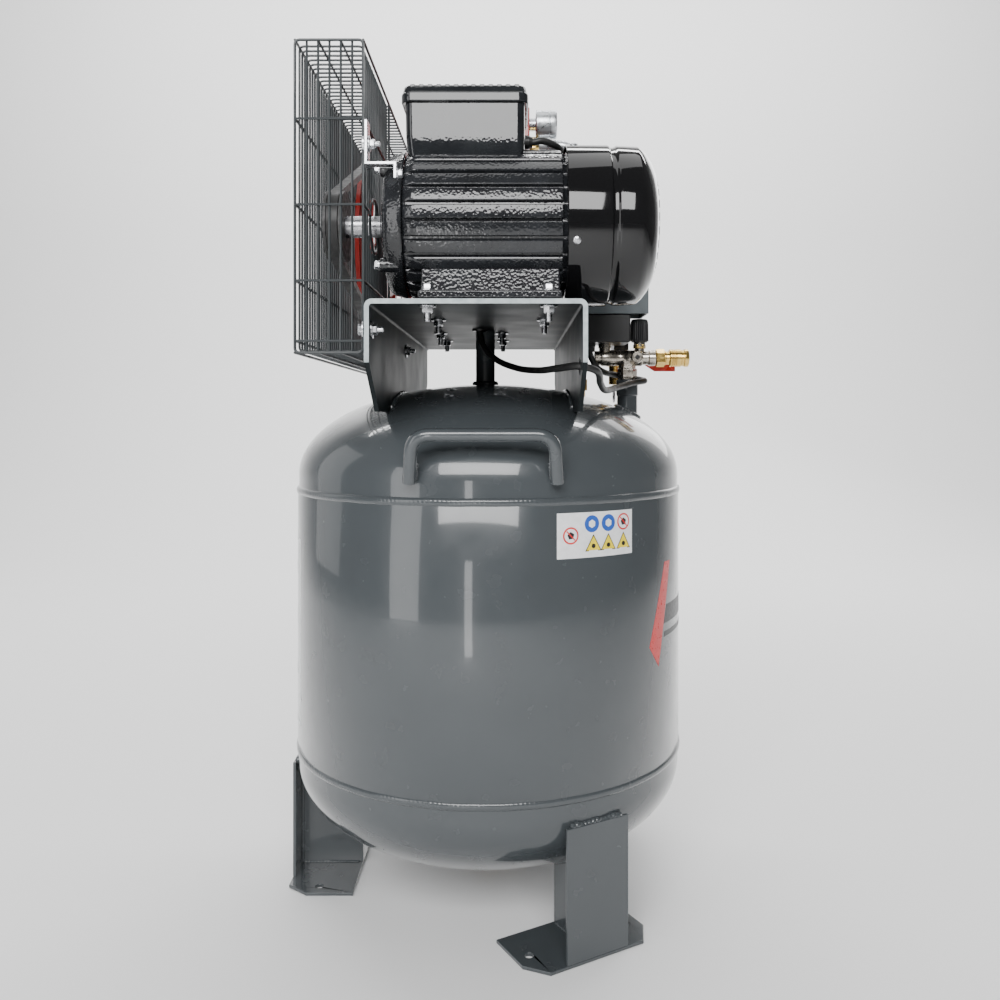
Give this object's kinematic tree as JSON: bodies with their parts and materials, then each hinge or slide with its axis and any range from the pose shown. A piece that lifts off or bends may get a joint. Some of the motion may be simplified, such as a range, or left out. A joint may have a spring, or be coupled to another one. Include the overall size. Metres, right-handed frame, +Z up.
{
  "type": "vertical tank air compressor",
  "caption": "Upright air receiver on welded legs, carrying a belt-driven piston pump, its foot-mounted electric motor, a wire belt guard, and a pressure switch with a quick-coupling outlet.",
  "frame": {"origin": "middle of the footprint, at floor level", "axes": "+Z up, -Y towards the motor end, +X towards the air outlet"},
  "size_m": [0.5206, 0.6496, 1.0405],
  "materials": {
    "tank_paint": "gloss",
    "motor_paint": "hammered gloss",
    "cowl_paint": "high gloss",
    "red_paint": "gloss",
    "wire_paint": "satin",
    "cast_iron": "as cast",
    "steel": "machined",
    "zinc": "zinc plated",
    "brass": "polished",
    "nickel": "nickel plated",
    "aluminium": "satin",
    "rubber": "satin",
    "black_plastic": "satin",
    "grey_plastic": "satin",
    "red_plastic": "gloss",
    "sight_glass": "clear"
  },
  "bodies": {
    "frame": {"tank_shell": "tank_paint", "leg_left": "tank_paint", "leg_front": "tank_paint", "leg_rear": "tank_paint", "carry_handle": "tank_paint", "platform": "tank_paint", "centre_riser": "tank_paint", "outlet_riser": "tank_paint", "motor_housing": "motor_paint", "motor_front_shield": "motor_paint", "motor_rear_shield": "motor_paint", "terminal_box": "motor_paint", "terminal_box_lid": "motor_paint", "fan_cowl": "cowl_paint", "crankcase": "red_paint", "crankcase_cover": "red_paint", "cylinder_block": "red_paint", "cylinder_head": "red_paint", "guard_outer_panel": "wire_paint", "guard_inner_panel": "wire_paint", "guard_top_panel": "wire_paint", "guard_bottom_panel": "wire_paint", "guard_front_panel": "wire_paint", "guard_rear_panel": "wire_paint", "front_bearing": "steel", "rear_bearing": "steel", "stator_core": "steel", "valve_plate": "steel", "guard_bracket": "zinc", "drain_valve_body": "brass", "check_valve": "brass", "safety_valve": "brass", "coupler_body": "brass", "outlet_manifold": "nickel", "start_capacitor": "aluminium", "piston_left": "aluminium", "piston_right": "aluminium", "intake_filter": "aluminium", "discharge_pipe": "aluminium", "drive_belt": "rubber", "motor_lead": "rubber", "oil_filler_cap": "black_plastic", "pressure_gauge": "black_plastic", "switch_base": "black_plastic", "switch_cover": "grey_plastic", "oil_sight_glass": "sight_glass"},
    "crank": {"crankshaft": "steel", "flywheel": "red_paint"},
    "rod_left": {"connecting_rod_left": "aluminium"},
    "rod_right": {"connecting_rod_right": "aluminium"},
    "rotor": {"motor_shaft": "steel", "rotor_core": "cast_iron", "motor_fan": "black_plastic", "motor_pulley": "cast_iron"},
    "regulator": {"regulator_knob": "black_plastic"},
    "switch_button": {"switch_knob": "red_plastic"},
    "outlet_lever": {"ball_valve_lever": "red_plastic"},
    "sleeve": {"coupler_sleeve": "brass"},
    "safety_ring": {"safety_valve_ring": "steel"},
    "drain_tap": {"drain_valve_tap": "brass"}
  },
  "joints": [
    {"name": "crank_spin", "type": "hinge", "parent": "frame", "child": "crank", "pos_m": [-0.16825, 0.07275, 0.838], "axis": [1, 0, 0], "continuous": true},
    {"name": "motor_spin", "type": "hinge", "parent": "frame", "child": "rotor", "pos_m": [-0.16825, -0.23725, 0.81], "axis": [1, 0, 0], "continuous": true},
    {"name": "rod_left_pivot", "type": "hinge", "parent": "crank", "child": "rod_left", "pos_m": [-0.07075, 0.07275, 0.858], "axis": [1, 0, 0], "continuous": true},
    {"name": "rod_right_pivot", "type": "hinge", "parent": "crank", "child": "rod_right", "pos_m": [0.00725, 0.07275, 0.818], "axis": [1, 0, 0], "continuous": true},
    {"name": "regulator_turn", "type": "hinge", "parent": "frame", "child": "regulator", "pos_m": [0.19475, -0.01725, 0.715], "axis": [0, 0, 1], "range_deg": [-540, 540]},
    {"name": "switch_press", "type": "slide", "parent": "frame", "child": "switch_button", "axis": [0, 0, 1], "range_m": [-0.0055, 0]},
    {"name": "outlet_valve_turn", "type": "hinge", "parent": "frame", "child": "outlet_lever", "pos_m": [0.20725, -0.00225, 0.679], "axis": [0, 1, 0], "range_deg": [-90, 0]},
    {"name": "coupler_release", "type": "slide", "parent": "frame", "child": "sleeve", "axis": [1, 0, 0], "range_m": [-0.0045, 0], "stiffness_N_per_m": 800},
    {"name": "safety_pull", "type": "slide", "parent": "frame", "child": "safety_ring", "axis": [0, 0, -1], "range_m": [0, 0.003], "stiffness_N_per_m": 1000},
    {"name": "drain_turn", "type": "hinge", "parent": "frame", "child": "drain_tap", "pos_m": [-0.00675, -0.01725, 0.01], "axis": [0, 0, 1], "range_deg": [0, 360]}
  ],
  "couplings": [
    {"joint": "motor_spin", "follows": "crank_spin", "ratio": 3.6},
    {"joint": "rod_left_pivot", "follows": "crank_spin", "ratio": -1},
    {"joint": "rod_right_pivot", "follows": "crank_spin", "ratio": -1}
  ]
}
